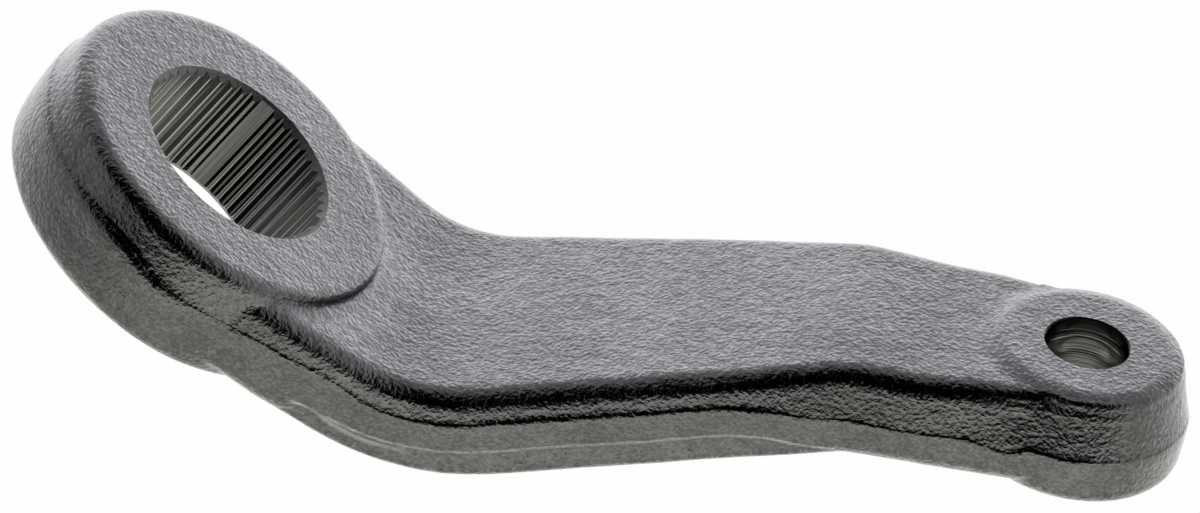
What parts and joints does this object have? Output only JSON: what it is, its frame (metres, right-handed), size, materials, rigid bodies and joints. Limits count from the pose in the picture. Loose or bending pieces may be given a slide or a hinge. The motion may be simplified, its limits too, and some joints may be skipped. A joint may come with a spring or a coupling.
{
  "type": "pitman arm",
  "caption": "Dropped pitman arm forged in steel: a boss with a serrated shaft bore, a wide tapering arm bent into a shallow Z, and a smaller boss with a tapered ball-stud bore.",
  "frame": {"origin": "on the serrated bore's axis, halfway between the shaft boss's two faces", "axes": "+Z along the serrated bore, out of the nut face; +X the way the arm leaves the shaft, so the arm's middle plane is XZ"},
  "size_m": [0.2024, 0.071, 0.1071],
  "materials": {
    "forged_steel": "satin black coat over forged grain, bores machined bare"
  },
  "bodies": {
    "root": {"pitman_arm": "forged_steel"}
  },
  "joints": []
}
